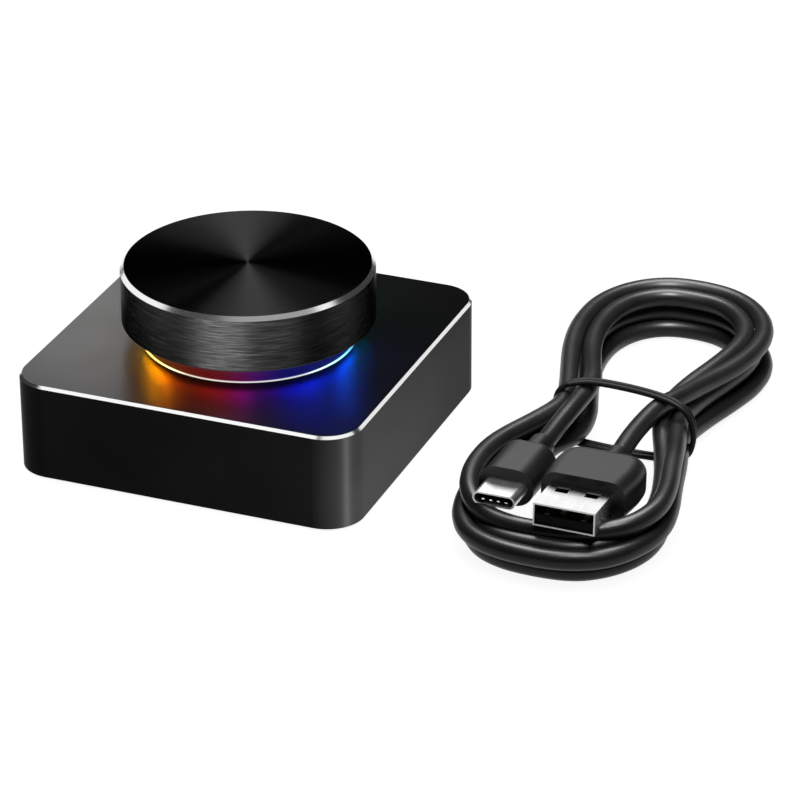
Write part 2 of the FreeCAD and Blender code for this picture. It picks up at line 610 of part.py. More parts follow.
# the tie pulls the strands in: both outer top edges are cut back under it
for px0, sx in ((86.2, 1), (57.3, -1)):
    corner = Part.Face(Part.makePolygon([V(px0 + sx * 3, tie_y - 1.6, hank_h + 2), V(px0 - sx * 4.2, tie_y - 1.6, hank_h + 2),
                                         V(px0 - sx * 4.2, tie_y - 1.6, hank_h), V(px0 - sx * 1.6, tie_y - 1.6, hank_h - 1.8),
                                         V(px0 - sx * 0.2, tie_y - 1.6, hank_h - 5.2), V(px0 + sx * 3, tie_y - 1.6, hank_h - 5.2),
                                         V(px0 + sx * 3, tie_y - 1.6, hank_h + 2)])).extrude(V(0, 3.2, 0))
    hank = hank.cut(corner)
save("cable_hank", hank)

# ================================================================ cable: twist tie, two turns side by side
def tie_loop(y):
    x0, x1, z0, z1, r = 56.6, 86.9, tie_t / 2 + 0.02, hank_h + 0.9, 3.6
    d = tie_t
    pts = [V(x0 + r, y, z0), V(x1 - r, y, z0), V(x1, y, z0 + r), V(x1, y, z1 - r), V(x1 - r, y, z1), V(x0 + r, y, z1),
           V(x0, y, z1 - r), V(x0, y, z0 + r)]
    k = r * (1 - math.sqrt(0.5))
    e = [Part.LineSegment(pts[0], pts[1]).toShape(),
         Part.Arc(pts[1], V(x1 - k, y, z0 + k), pts[2]).toShape(),
         Part.LineSegment(pts[2], pts[3]).toShape(),
         Part.Arc(pts[3], V(x1 - k, y, z1 - k), pts[4]).toShape(),
         Part.LineSegment(pts[4], pts[5]).toShape(),
         Part.Arc(pts[5], V(x0 + k, y, z1 - k), pts[6]).toShape(),
         Part.LineSegment(pts[6], pts[7]).toShape(),
         Part.Arc(pts[7], V(x0 + k, y, z0 + k), pts[0]).toShape()]
    w = Part.Wire(e)
    prof = Part.Wire(Part.makeCircle(d / 2, pts[0], V(1, 0, 0)))
    return w.makePipeShell([prof], True, False)


t1 = tie_loop(tie_y - 0.6)
t2 = tie_loop(tie_y + 0.6)
save("cable_tie", t1, t2)
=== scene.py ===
import math
import bpy
import bmesh
from mathutils import Matrix, Vector


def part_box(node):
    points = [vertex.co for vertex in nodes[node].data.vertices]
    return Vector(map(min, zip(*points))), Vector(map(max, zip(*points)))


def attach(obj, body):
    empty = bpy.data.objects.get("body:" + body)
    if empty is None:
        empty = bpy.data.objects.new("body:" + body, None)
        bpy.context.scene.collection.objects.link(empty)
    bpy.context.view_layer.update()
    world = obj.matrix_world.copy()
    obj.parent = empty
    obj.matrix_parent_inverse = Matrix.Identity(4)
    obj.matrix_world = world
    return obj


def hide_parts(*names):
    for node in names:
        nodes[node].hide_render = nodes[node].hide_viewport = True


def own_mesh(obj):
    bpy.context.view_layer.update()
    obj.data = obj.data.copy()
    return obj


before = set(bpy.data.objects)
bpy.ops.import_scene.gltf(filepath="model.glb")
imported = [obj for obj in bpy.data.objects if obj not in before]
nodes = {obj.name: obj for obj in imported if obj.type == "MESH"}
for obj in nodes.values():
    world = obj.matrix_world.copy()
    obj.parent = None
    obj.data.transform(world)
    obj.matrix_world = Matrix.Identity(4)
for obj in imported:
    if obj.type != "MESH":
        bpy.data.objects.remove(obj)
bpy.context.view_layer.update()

MM = 0.001

# ------------------------------------------------------------------ camera
cam_data = bpy.data.cameras.new("camera")
cam_data.lens = 182.03
cam_data.sensor_width = 36.0
cam_data.clip_start = 0.05
cam_data.clip_end = 50.0
cam = bpy.data.objects.new("camera", cam_data)
bpy.context.scene.collection.objects.link(cam)
R2 = Vector((0.929164, 0.369640, -0.004428))
B2 = Vector((0.330770, -0.825981, 0.456450))
R2 = (R2 - B2 * R2.dot(B2) / B2.length_squared).normalized()
B2.normalize()
U2 = B2.cross(R2)
m = Matrix((R2, U2, B2)).transposed().to_4x4()
m.translation = Vector((0.288103, -0.641269, 0.365543))
cam.matrix_world = m
bpy.context.scene.camera = cam


# ------------------------------------------------------------------ material helpers
class Mat:
    """A node material with a few short ways to wire it."""

    def __init__(self, name, **settings):
        self.m = bpy.data.materials.new(name)
        self.m.use_nodes = True
        self.nt = self.m.node_tree
        self.b = self.nt.nodes["Principled BSDF"]
        for k, v in settings.items():
            self.set(k, v)

    def set(self, key, v):
        s = self.b.inputs[key.replace("_", " ")] if key.replace("_", " ") in self.b.inputs else self.b.inputs[key]
        if isinstance(v, (tuple, list)) and len(v) == 3 and s.type == "RGBA":
            v = (*v, 1.0)
        s.default_value = v

    def node(self, kind, **kw):
        n = self.nt.nodes.new(kind)
        for k, v in kw.items():
            setattr(n, k, v)
        return n

    def link(self, a, b):
        self.nt.links.new(a, b)

    def coords(self, scale=(1, 1, 1), rot=(0, 0, 0), loc=(0, 0, 0)):
        tc = self.node("ShaderNodeTexCoord")
        mp = self.node("ShaderNodeMapping")
        mp.inputs["Scale"].default_value = scale
        mp.inputs["Rotation"].default_value = rot
        mp.inputs["Location"].default_value = loc
        self.link(tc.outputs["Object"], mp.inputs["Vector"])
        return mp.outputs["Vector"]

    def noise(self, vec, scale, detail=3.0, rough=0.55):
        n = self.node("ShaderNodeTexNoise")
        n.inputs["Scale"].default_value = scale
        n.inputs["Detail"].default_value = detail
        n.inputs["Roughness"].default_value = rough
        self.link(vec, n.inputs["Vector"])
        return n.outputs["Fac"]

    def ramp(self, fac, stops):
        r = self.node("ShaderNodeValToRGB")
        el = r.color_ramp.elements
        while len(el) > 1:
            el.remove(el[-1])
        el[0].position = stops[0][0]
        el[0].color = self._c(stops[0][1])
        for p, c in stops[1:]:
            e = el.new(p)
            e.color = self._c(c)
        self.link(fac, r.inputs["Fac"])
        return r.outputs["Color"]

    @staticmethod
    def _c(c):
        if isinstance(c, (int, float)):
            return (c, c, c, 1.0)
        return (*c, 1.0) if len(c) == 3 else tuple(c)

    def rng(self, fac, a, b, lo, hi):
        n = self.node("ShaderNodeMapRange")
        for k, v in zip(("From Min", "From Max", "To Min", "To Max"), (a, b, lo, hi)):
            n.inputs[k].default_value = v
        self.link(fac, n.inputs["Value"])
        return n.outputs["Result"]

    def math(self, op, a, b=None, c=None):
        n = self.node("ShaderNodeMath", operation=op)
        for i, v in enumerate((a, b, c)):
            if v is None:
                continue
            if isinstance(v, (int, float)):
                n.inputs[i].default_value = v
            else:
                self.link(v, n.inputs[i])
        return n.outputs[0]

    def bump(self, height, strength, dist=0.0001, normal=None):
        n = self.node("ShaderNodeBump")
        n.inputs["Strength"].default_value = strength
        n.inputs["Distance"].default_value = dist
        self.link(height, n.inputs["Height"])
        if normal is not None:
            self.link(normal, n.inputs["Normal"])
        self.link(n.outputs["Normal"], self.b.inputs["Normal"])
        return n.outputs["Normal"]

    def to(self, key, out):
        self.link(out, self.b.inputs[key])


def rgb(h, k=1.0):
    """sRGB hex to linear."""
    out = []
    for i in (0, 2, 4):
        c = int(h[i:i + 2], 16) / 255.0
        out.append((c / 12.92 if c <= 0.04045 else ((c + 0.055) / 1.055) ** 2.4) * k)
    return tuple(out)


def fine_plastic(name, dark, light, rough, scale=900.0, bump=0.25, spec=0.5, dist=0.00006):
    """Moulded plastic: spark-eroded fine grain, slight tone and gloss variation."""
    M = Mat(name, Roughness=rough)
    M.set("Specular IOR Level", spec)
    v = M.coords()
    big = M.noise(v, 60.0, 2.0)
    M.to("Base Color", M.ramp(big, [(0.3, dark), (0.7, light)]))
    M.to("Roughness", M.rng(big, 0.3, 0.7, rough - 0.04, rough + 0.05))
    M.bump(M.noise(v, scale, 2.0), bump, dist)
    return M.m


def satin_metal(name, dark, light, rough, stretch=(1, 1, 1), scale=1200.0, bump=0.2, metallic=1.0):
    """Plated or machined metal with faint drawn lines."""
    M = Mat(name, Metallic=metallic, Roughness=rough)
    v = M.coords(stretch)
    lines = M.noise(v, scale, 3.0)
    M.to("Base Color", M.ramp(lines, [(0.3, dark), (0.7, light)]))
    M.to("Roughness", M.rng(lines, 0.3, 0.7, rough - 0.05, rough + 0.07))
    M.bump(lines, bump, 0.00002)
    return M.m


# ------------------------------------------------------------------ materials of the base
BASE_TOP = 19.7 * MM
CHAMFER = 0.5 * MM
HALF = 35.0 * MM


def anodised(name, rough, spec, lo="1c1c1c", hi="222222", grain=1.0):
    """Black anodising over a fine bead blast."""
    M = Mat(name, Roughness=rough)
    M.set("Specular IOR Level", spec)
    v = M.coords()
    fine = M.noise(v, 2600.0, 2.0, 0.6)
    cloud = M.noise(v, 45.0, 2.0)
    M.to("Base Color", M.ramp(cloud, [(0.3, rgb(lo)), (0.7, rgb(hi))]))
    M.to("Roughness", M.rng(cloud, 0.3, 0.7, rough - 0.03, rough + 0.03))
    M.bump(fine, 0.10 * grain, 0.00003)
    return M.m


# The sides and the top are one anodising. The sides get a darker base colour than the top, which is painted shade on
# the sides.
mat_side_painted_shade = anodised("housing_side_painted_shade", 0.34, 0.010, "0e0e0e", "131313")
mat_top = anodised("housing_top", 0.34, 0.22, "171717", "1d1d1d")


def cut_edge(name, tint=0.9, rough=0.16):
    """Diamond-cut edge: bare bright aluminium with very fine cutter lines."""
    M = Mat(name, Metallic=1.0, Roughness=rough)
    v = M.coords((1, 1, 12))
    n = M.noise(v, 900.0, 3.0)
    M.to("Base Color", M.ramp(n, [(0.25, (tint * 0.95,) * 3), (0.75, (tint,) * 3)]))
    M.to("Roughness", M.rng(n, 0.3, 0.7, rough - 0.03, rough + 0.03))
    M.bump(n, 0.03, 0.00001)
    return M.m


mat_edge = cut_edge("housing_cut_edge")


def faces_to(obj, mats, pick):
    """Give obj the listed materials, and each face the one that pick(centre, normal) names."""
    me = obj.data
    me.materials.clear()
    for mt in mats:
        me.materials.append(mt)
    for p in me.polygons:
        p.material_index = pick(p.center, p.normal)


def one(node, mat):
    me = nodes[node].data
    me.materials.clear()
    me.materials.append(mat)
    for p in me.polygons:
        p.material_index = 0


def pick_housing(c, n):
    if c.z > BASE_TOP - CHAMFER * 1.02 and 0.25 < n.z < 0.95:
        return 2
    if c.z > BASE_TOP - 0.00002 and n.z > 0.9:
        return 1
    return 0


faces_to(nodes["housing"], [mat_side_painted_shade, mat_top, mat_edge], pick_housing)

# ------------------------------------------------------------------ knob
KNOB_R = 24.6 * MM
KNOB_Z0, KNOB_Z1 = 23.7 * MM, 35.1 * MM
TURN = 0.25


def knob_top_material():
    """Spun top: concentric turning marks, so the light spreads in radial wedges."""
    M = Mat("knob_top", Metallic=1.0)
    M.set("Roughness", 0.37)
    M.set("Anisotropic", 0.97)
    M.set("Specular Tint", (0.35, 0.35, 0.35))
    M.set("Anisotropic Rotation", TURN)
    tan = M.node("ShaderNodeTangent", direction_type="RADIAL", axis="Z")
    M.link(tan.outputs["Tangent"], M.b.inputs["Tangent"])
    tc = M.node("ShaderNodeTexCoord")
    sep = M.node("ShaderNodeSeparateXYZ")
    M.link(tc.outputs["Object"], sep.inputs[0])
    r = M.math("SQRT", M.math("ADD", M.math("MULTIPLY", sep.outputs[0], sep.outputs[0]), M.math("MULTIPLY", sep.outputs[1], sep.outputs[1])))
    comb = M.node("ShaderNodeCombineXYZ")
    M.link(M.math("MULTIPLY", r, 1000.0), comb.inputs[0])
    rings = M.noise(comb.outputs[0], 9.0, 4.0, 0.65)
    M.to("Base Color", M.ramp(rings, [(0.3, (0.016,) * 3), (0.7, (0.022,) * 3)]))
    M.bump(rings, 0.10, 0.00001)
    return M.m


def knob_side_material():
    """Brushed round the side: short dashes along the turning direction."""
    M = Mat("knob_side", Metallic=1.0)
    M.set("Roughness", 0.36)
    M.set("Anisotropic", 0.75)
    M.set("Specular Tint", (0.35, 0.35, 0.35))
    M.set("Anisotropic Rotation", TURN)
    tan = M.node("ShaderNodeTangent", direction_type="RADIAL", axis="Z")
    M.link(tan.outputs["Tangent"], M.b.inputs["Tangent"])
    tc = M.node("ShaderNodeTexCoord")
    sep = M.node("ShaderNodeSeparateXYZ")
    M.link(tc.outputs["Object"], sep.inputs[0])
    ang = M.math("ARCTAN2", sep.outputs[1], sep.outputs[0])
    comb = M.node("ShaderNodeCombineXYZ")
    M.link(M.math("MULTIPLY", M.math("COSINE", ang), 0.9), comb.inputs[0])
    M.link(M.math("MULTIPLY", M.math("SINE", ang), 0.9), comb.inputs[1])
    M.link(M.math("MULTIPLY", sep.outputs[2], 1000.0), comb.inputs[2])
    streak = M.noise(comb.outputs[0], 4.5, 5.0, 0.7)
    M.to("Base Color", M.ramp(streak, [(0.30, (0.012,) * 3), (0.50, (0.024,) * 3), (0.72, (0.052,) * 3)]))
    M.to("Roughness", M.rng(streak, 0.3, 0.7, 0.28, 0.44))
    M.bump(streak, 0.35, 0.00002)
    return M.m


mat_knob_edge = cut_edge("knob_cut_edge", 0.92, 0.18)
mat_knob_low = anodised("knob_low_edge", 0.3, 0.3)
mat_knob_in = anodised("knob_inside", 0.5, 0.2)


def pick_knob(c, n):
    r = math.hypot(c.x, c.y)
    if n.z > 0.95 and c.z > KNOB_Z1 - 0.0001:
        return 0
    if c.z > KNOB_Z1 - 0.0009 and n.z > 0.3:
        return 2
    if c.z < KNOB_Z0 + 0.0009 and n.z < -0.3 and r > KNOB_R - 0.001:
        return 3
    if r > KNOB_R - 0.0003 and abs(n.z) < 0.3:
        return 1
    return 4


faces_to(nodes["knob_shell"], [knob_top_material(), knob_side_material(), mat_knob_edge, mat_knob_low, mat_knob_in], pick_knob)


# ------------------------------------------------------------------ light guide
def guide_material():
    """Milky ring, lit from below: the colour goes round with the LEDs. Its wall is masked, so it shines at the seam
    with the casing and from its upper rim, out under the knob. At the seam, the near-white colour and two brighter
    stretches are a painted highlight on top of the real glow."""
    M = Mat("light_guide", Roughness=0.45)
    M.set("Specular IOR Level", 0.2)
    M.set("Base Color", (0.10, 0.10, 0.10))
    tc = M.node("ShaderNodeTexCoord")
    sep = M.node("ShaderNodeSeparateXYZ")
    M.link(tc.outputs["Object"], sep.inputs[0])
    ang = M.math("ARCTAN2", sep.outputs[1], sep.outputs[0])
    fac = M.rng(ang, -math.pi, math.pi, 0.0, 1.0)
    # 0 at -X, going through -Y (the front) to +X at 0.5, then the back
    col = M.ramp(fac, [(0.00, rgb("ffd21a")), (0.06, rgb("ffc000")), (0.125, rgb("ffa000")), (0.165, rgb("ff8400")), (0.190, rgb("ff6000")),
                       (0.222, rgb("ff3800")), (0.25, rgb("ff1408")), (0.278, rgb("ff0050")), (0.306, rgb("e600c8")), (0.333, rgb("9000ff")),
                       (0.361, rgb("2004ff")), (0.389, rgb("0414ff")), (0.417, rgb("0424ff")), (0.444, rgb("0420ff")), (0.472, rgb("0440ff")),
                       (0.50, rgb("0450ff")), (0.53, rgb("0868ff")), (0.56, rgb("10b8ff")), (0.59, rgb("20f0e0")), (0.66, rgb("20ff90")),
                       (0.75, rgb("40ff30")), (0.88, rgb("d8ff20")), (1.00, rgb("ffd21a"))])
    power = M.ramp(fac, [(0.0, 0.30), (0.08, 0.30), (0.105, 0.55), (0.128, 1.0), (0.152, 1.0), (0.172, 0.55), (0.192, 0.13), (0.215, 0.05), (0.25, 0.07),
                         (0.278, 0.08), (0.306, 0.08), (0.333, 0.025), (0.361, 0.08), (0.389, 0.19), (0.417, 0.28), (0.440, 0.16),
                         (0.465, 0.25), (0.485, 0.85), (0.505, 1.0), (0.525, 0.4), (0.55, 0.08), (0.60, 0.10), (0.66, 0.30), (0.80, 0.30), (1.0, 0.30)])
    z = M.math("MULTIPLY", sep.outputs[2], 1000.0)
    seam = M.ramp(M.rng(z, 19.6, 20.6, 0.0, 1.0), [(0.0, 1.0), (0.16, 1.0), (0.28, 0.0), (1.0, 0.0)])
    # The seam colour is whitened, yellow-white at the left, pinkish-white in front and cyan-white at the right. The
    # seam power is raised in two stretches. This is the real seam glow plus a painted highlight of the LEDs on the
    # seam line.
    seam_col_painted_highlight = M.ramp(fac, [(0.0, rgb("ffe060")), (0.15, rgb("ffe070")), (0.20, rgb("fff0c0")), (0.25, rgb("fff6f0")), (0.40, rgb("f0f4ff")),
                            (0.44, rgb("b8f0ff")), (0.50, rgb("70d8ff")), (0.75, rgb("c0ffc0")), (1.0, rgb("ffe060"))])
    seam_power_painted_highlight = M.ramp(fac, [(0.0, 0.4), (0.11, 0.8), (0.14, 1.0), (0.19, 1.0), (0.215, 0.35), (0.40, 0.35), (0.435, 1.0), (0.48, 1.0), (0.52, 0.4), (1.0, 0.4)])
    mix = M.node("ShaderNodeMix", data_type="RGBA", blend_type="MIX")
    M.link(seam, mix.inputs[0])
    M.link(col, mix.inputs[6])
    M.link(seam_col_painted_highlight, mix.inputs[7])
    M.to("Emission Color", mix.outputs[2])
    rim = M.ramp(M.rng(z, 21.6, 22.6, 0.0, 1.0), [(0.0, 0.0), (0.42, 0.0), (0.62, 1.0), (1.0, 1.0)])
    M.to("Emission Strength", M.math("ADD", M.math("MULTIPLY", M.math("MULTIPLY", seam, seam_power_painted_highlight), 2.0), M.math("MULTIPLY_ADD", M.math("MULTIPLY", rim, power), 300.0, 0.10)))
    M.bump(M.noise(M.coords(), 300.0, 2.0), 0.1, 0.00003)
    return M.m


one("light_guide", guide_material())

# ------------------------------------------------------------------ click dome, built unpressed; the real one flattens as the knob is pressed
def click_dome():
    """Thin sprung disc, 0.1 mm thick, with a small dimple at its crown. It sits where switch_dome sits."""
    lo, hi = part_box("switch_dome")
    cx, cy = (lo[0] + hi[0]) / 2, (lo[1] + hi[1]) / 2
    r_rim = (hi[0] - lo[0]) / 2
    ball, thick, dimple = 6.0 * MM, 0.1 * MM, 0.45 * MM
    zc = hi[2] - ball

    def drop(r):
        return 0.03 * MM * max(0.0, 1.0 - (r / dimple) ** 2) ** 2

    n_r, n_a = 18, 72
    r_in = math.sqrt((ball - thick) ** 2 - (lo[2] - zc) ** 2)
    profile = [(r_rim * i / n_r, zc + math.sqrt(ball ** 2 - (r_rim * i / n_r) ** 2) - drop(r_rim * i / n_r)) for i in range(n_r + 1)]
    profile += [(r_in * i / n_r, zc + math.sqrt((ball - thick) ** 2 - (r_in * i / n_r) ** 2) - drop(r_in * i / n_r)) for i in range(n_r, -1, -1)]
    bm = bmesh.new()
    rings = []
    for r, z in profile:
        if r < 1e-7:
            rings.append([bm.verts.new((cx, cy, z))])
        else:
            rings.append([bm.verts.new((cx + r * math.cos(2 * math.pi * k / n_a), cy + r * math.sin(2 * math.pi * k / n_a), z)) for k in range(n_a)])
    for a, b in zip(rings, rings[1:]):
        for k in range(n_a):
            k2 = (k + 1) % n_a
            quad = [a[k % len(a)], b[k % len(b)], b[k2 % len(b)], a[k2 % len(a)]]
            bm.faces.new(list(dict.fromkeys(quad)))
    bmesh.ops.recalc_face_normals(bm, faces=bm.faces)
    me = bpy.data.meshes.new("click_dome")
    bm.to_mesh(me)
    bm.free()
    for f in me.polygons:
        f.use_smooth = True
    o = bpy.data.objects.new("click_dome", me)
    bpy.context.scene.collection.objects.link(o)
    me.materials.append(satin_metal("dome_steel", (0.6, 0.6, 0.6), (0.76, 0.76, 0.76), 0.2))
    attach(o, "base")
    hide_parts("switch_dome")
    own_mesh(o)
    return o


click_dome()

# ------------------------------------------------------------------ the other CAD pieces
one("bottom_plate", fine_plastic("bottom_plate_coat", rgb("121212"), rgb("1b1b1b"), 0.5, 700.0, 0.3, 0.4))
one("bottom_screws", satin_metal("black_zinc", (0.05, 0.05, 0.055), (0.10, 0.10, 0.11), 0.35))
one("foot_pad", fine_plastic("foot_silicone", rgb("0e0e0e"), rgb("161616"), 0.75, 500.0, 0.4, 0.3))


def board_material():
    M = Mat("board_laminate", Roughness=0.35)
    v = M.coords()
    weave = M.node("ShaderNodeTexBrick")
    weave.inputs["Scale"].default_value = 900.0
    weave.inputs["Mortar Size"].default_value = 0.06
    M.link(v, weave.inputs["Vector"])
    tracks = M.noise(M.coords((1, 6, 1)), 160.0, 1.0)
    M.to("Base Color", M.ramp(tracks, [(0.45, rgb("0c3a1c")), (0.52, rgb("15562b")), (0.58, rgb("0c3a1c"))]))
    M.bump(weave.outputs["Fac"], 0.15, 0.00002)
    return M.m


one("main_board", board_material())
one("board_screws", satin_metal("zinc", (0.5, 0.5, 0.52), (0.68, 0.68, 0.7), 0.3))
one("rgb_leds", fine_plastic("led_body", rgb("d8d8d2"), rgb("ececE6".lower()), 0.4, 900.0, 0.1))
one("controller_chip", fine_plastic("chip_epoxy", rgb("141414"), rgb("1c1c1c"), 0.55, 1500.0, 0.4))
one("board_parts", fine_plastic("board_parts_mix", rgb("4a3420"), rgb("8a7a5a"), 0.45, 700.0, 0.2))
one("usb_c_socket_shell", satin_metal("socket_steel", (0.50, 0.50, 0.51), (0.66, 0.66, 0.67), 0.28, (1, 0.1, 1)))
one("usb_c_socket_tongue", fine_plastic("tongue_plastic", rgb("101010"), rgb("181818"), 0.45))
one("encoder_base", fine_plastic("encoder_body", rgb("141414"), rgb("1e1e1e"), 0.5))
one("encoder_bushing", satin_metal("bushing_metal", (0.52, 0.52, 0.5), (0.7, 0.7, 0.68), 0.3))
one("encoder_pins", satin_metal("tinned_pin", (0.6, 0.58, 0.52), (0.74, 0.72, 0.66), 0.3))
one("detent_spring", satin_metal("spring_steel", (0.55, 0.55, 0.55), (0.7, 0.7, 0.7), 0.25))
one("switch_plunger", fine_plastic("plunger_plastic", rgb("cfcfc8"), rgb("e2e2dc"), 0.5))
one("encoder_rotor", fine_plastic("rotor_plastic", rgb("8a8a84"), rgb("a4a49c"), 0.5))
one("rotor_wipers", satin_metal("wiper_bronze", (0.62, 0.45, 0.24), (0.78, 0.6, 0.34), 0.28))
one("encoder_shaft", satin_metal("shaft_metal", (0.55, 0.55, 0.56), (0.74, 0.74, 0.75), 0.25, (1, 1, 20)))
one("knob_insert", fine_plastic("insert_abs", rgb("101010"), rgb("1a1a1a"), 0.5))


# ------------------------------------------------------------------ plugs
def shell_material(name, lo, hi, rough):
    """Stamped nickel-plated sheet: faint lengthwise drawing lines and a little orange peel."""
    M = Mat(name, Metallic=1.0, Roughness=rough)
    lines = M.noise(M.coords((1, 0.06, 1)), 2200.0, 3.0, 0.6)
    peel = M.noise(M.coords(), 420.0, 2.0)
    M.to("Base Color", M.ramp(lines, [(0.3, lo), (0.7, hi)]))
    M.to("Roughness", M.rng(peel, 0.3, 0.7, rough - 0.02, rough + 0.03))
    M.bump(lines, 0.03, 0.00001)
    return M.m


sheet_end = satin_metal("sheet_cut_end", (0.42, 0.42, 0.43), (0.52, 0.52, 0.53), 0.38, (1, 1, 1), 1500.0, 0.1)


def pick_shell(c, n):
    return 1 if n.y < -0.9 else 0


faces_to(nodes["usb_a_plug_shell"], [shell_material("usb_a_steel", (0.84, 0.84, 0.85), (0.90, 0.90, 0.91), 0.26), sheet_end], pick_shell)
faces_to(nodes["usb_c_plug_shell"], [shell_material("usb_c_steel", (0.78, 0.78, 0.79), (0.86, 0.86, 0.87), 0.38), sheet_end], pick_shell)
ins = fine_plastic("plug_insulator", rgb("060606"), rgb("0b0b0b"), 0.5, 900.0, 0.2, 0.06)
one("usb_a_plug_insulator", ins)
one("usb_c_plug_insulator", ins)
# The USB-A contacts are given a gold much darker than real plating. This is painted shade of the plug's mouth.
gold_painted_shade = satin_metal("contact_gold", (0.20, 0.15, 0.07), (0.28, 0.22, 0.11), 0.32, (1, 0.1, 1))
one("usb_a_plug_contacts", gold_painted_shade)
one("usb_c_plug_contacts", satin_metal("contact_bright", (0.80, 0.78, 0.72), (0.96, 0.94, 0.88), 0.22, (1, 0.1, 1)))
grip = fine_plastic("grip_pvc", rgb("151515"), rgb("1a1a1a"), 0.40, 1600.0, 0.20, 0.38)
one("usb_a_plug_grip", grip)
one("usb_c_plug_grip", grip)

for o in nodes.values():
    if o.type == "MESH":
        o.data.update()

# ------------------------------------------------------------------ cable
CABLE_D = 3.8 * MM
route = [
    # out of the USB-C grip's tail, to the tie
    (62.3, -5.5, 10), (62.4, -1.5, 10.1), (62.6, 4, 10.4), (63, 10, 10.8),
    # first far bow
    (63.3, 20.8, 10.8), (59.8, 30.1, 10), (56.7, 38.9, 9.3), (55, 48.2, 9.2), (55.5, 56.6, 9.1), (58.3, 62.6, 9),
    (63.1, 66.5, 9), (68.9, 67.1, 8.9), (75.3, 66, 9), (80.5, 61.6, 9), (83.6, 55.5, 9.1), (84, 48.3, 9.2),
    (82.2, 39.9, 8.9), (79.5, 30.3, 8.6), (78.1, 21.1, 8.1),
    # first near bow
    (79.1, 15, 7.6), (83.4, 4.1, 6.9), (86.2, -4.7, 6.9), (88.3, -13.5, 7), (88.7, -20.9, 6.9), (86.6, -27.4, 6.3),
    (82.8, -32.1, 5.8), (78.5, -34.6, 5.8), (72.1, -35.1, 5.7), (65.6, -34.5, 5.4), (61, -32.3, 5.2), (57.7, -27.9, 5.7),
    (55.6, -21.6, 6.2), (54.7, -13.1, 6.8), (56.1, -5.6, 6.4), (60.6, 3.1, 5),
    # second far bow, on the desk
    (63.4, 11.8, 4), (62.4, 20.8, 3.4), (59.3, 30.1, 2.3), (56.5, 38.9, 1.9), (54.9, 48.2, 1.9), (55.4, 56.6, 1.9),
    (58.2, 62.8, 1.9), (62.9, 66.7, 1.9), (68.9, 67.5, 1.9), (75.4, 66.3, 1.9), (80.6, 61.7, 1.9), (83.7, 55.5, 1.9),
    (84, 48.3, 1.9), (82.4, 39.9, 1.9), (79.8, 30.3, 1.9), (78.6, 21.1, 1.9),
    # second near bow, on the desk
    (79.5, 15.2, 1.9), (83.5, 4.4, 1.9), (86.4, -4.4, 1.9), (88.7, -13.3, 1.9), (89.5, -20.9, 1.9), (87.5, -27.8, 1.9),
    (83.5, -32.8, 1.9), (78.8, -35.6, 1.9), (72.1, -36.2, 1.9), (65.3, -35.6, 1.9), (60.2, -33, 1.9), (56.6, -28.3, 1.9),
    (54.3, -21.8, 1.9), (53.3, -13, 1.9), (54.5, -5.2, 1.9), (57.7, 3.8, 1.9),
    # third far bow
    (60.1, 12.6, 1.9), (58.5, 20.1, 1.9), (55.6, 29, 1.9), (52.8, 38, 1.9), (51.2, 48, 1.9), (51.7, 57.5, 1.9),
    (55.2, 65.1, 1.9), (61.4, 70.2, 1.9), (69, 71.3, 1.9), (77.1, 69.7, 1.9), (83.6, 64.1, 1.9), (87.4, 56.5, 1.9),
    (87.8, 48, 1.9), (86, 39, 2.2), (83.4, 29.5, 2.4), (82.2, 21, 3),
    # third near bow
    (82.7, 16, 3.6), (85.8, 5, 4.3), (87.8, -4, 4.9), (90.2, -13, 5.1), (91, -21, 5.1), (89, -28.5, 5.2), (85.2, -34.5, 5.3),
    (79.2, -38, 5.4), (72.1, -38.8, 5.4), (64.6, -38, 5.4), (58.6, -34.8, 5.3), (54.9, -29, 5.2), (52.9, -22, 5.1),
    (52.2, -13, 5.1), (53.5, -5, 5.2), (57.2, 3.9, 5.4),
    # fourth far bow
    (60.1, 12.6, 5.6), (59.3, 20.2, 5.6), (57.1, 29.5, 5.6), (54.5, 38.4, 5.6), (53.1, 48.1, 5.6), (53.8, 57, 5.5),
    (57.1, 63.6, 5.4), (62.5, 67.8, 5.4), (68.9, 68.4, 5.3), (75.9, 67.3, 5.4), (81.7, 62.6, 5.4), (85.3, 56, 5.5),
    (85.9, 48.1, 5.6), (84.4, 39.4, 6), (82.1, 29.8, 6.4), (81.2, 21, 6.9),
    # fourth near bow, under the two plugs
    (82.2, 15.8, 7.7), (85.5, 4.9, 9.2), (87.5, -4.1, 9.6), (89.8, -13.1, 9.6), (90.3, -21, 9.5), (87.5, -27.6, 9),
    (82.3, -31.2, 8.4), (77.6, -32.4, 7.9), (72.1, -32.6, 7.5), (66.4, -32.4, 7.3), (60.8, -31.4, 7.8), (56.3, -27.6, 8.8),
    (53.5, -21.4, 9.4), (52.6, -13, 9.6), (53.8, -5.1, 9.6), (57.3, 3.9, 9.5),
    # fifth far bow
    (60.1, 12.6, 9.4), (58.5, 20.1, 9.4), (55.6, 29, 9.5), (52.8, 38, 9.5), (51.2, 48, 9.5), (51.8, 57.5, 9.5),
    (55.3, 65, 9.5), (61.5, 70, 9.5), (69, 71, 9.5), (77, 69.5, 9.5), (83.5, 64, 9.5), (87.3, 56.5, 9.5),
    (87.8, 48, 9.5), (86, 39, 9.5), (82.8, 29.6, 10), (80.6, 21, 10.8),
    # under the tie and down to the USB-A grip's tail
    (78.6, 16, 11.1), (77.6, 10, 10.8), (77.1, 4, 10.5), (77.1, -1, 10.3), (77.2, -5, 10.1),
]


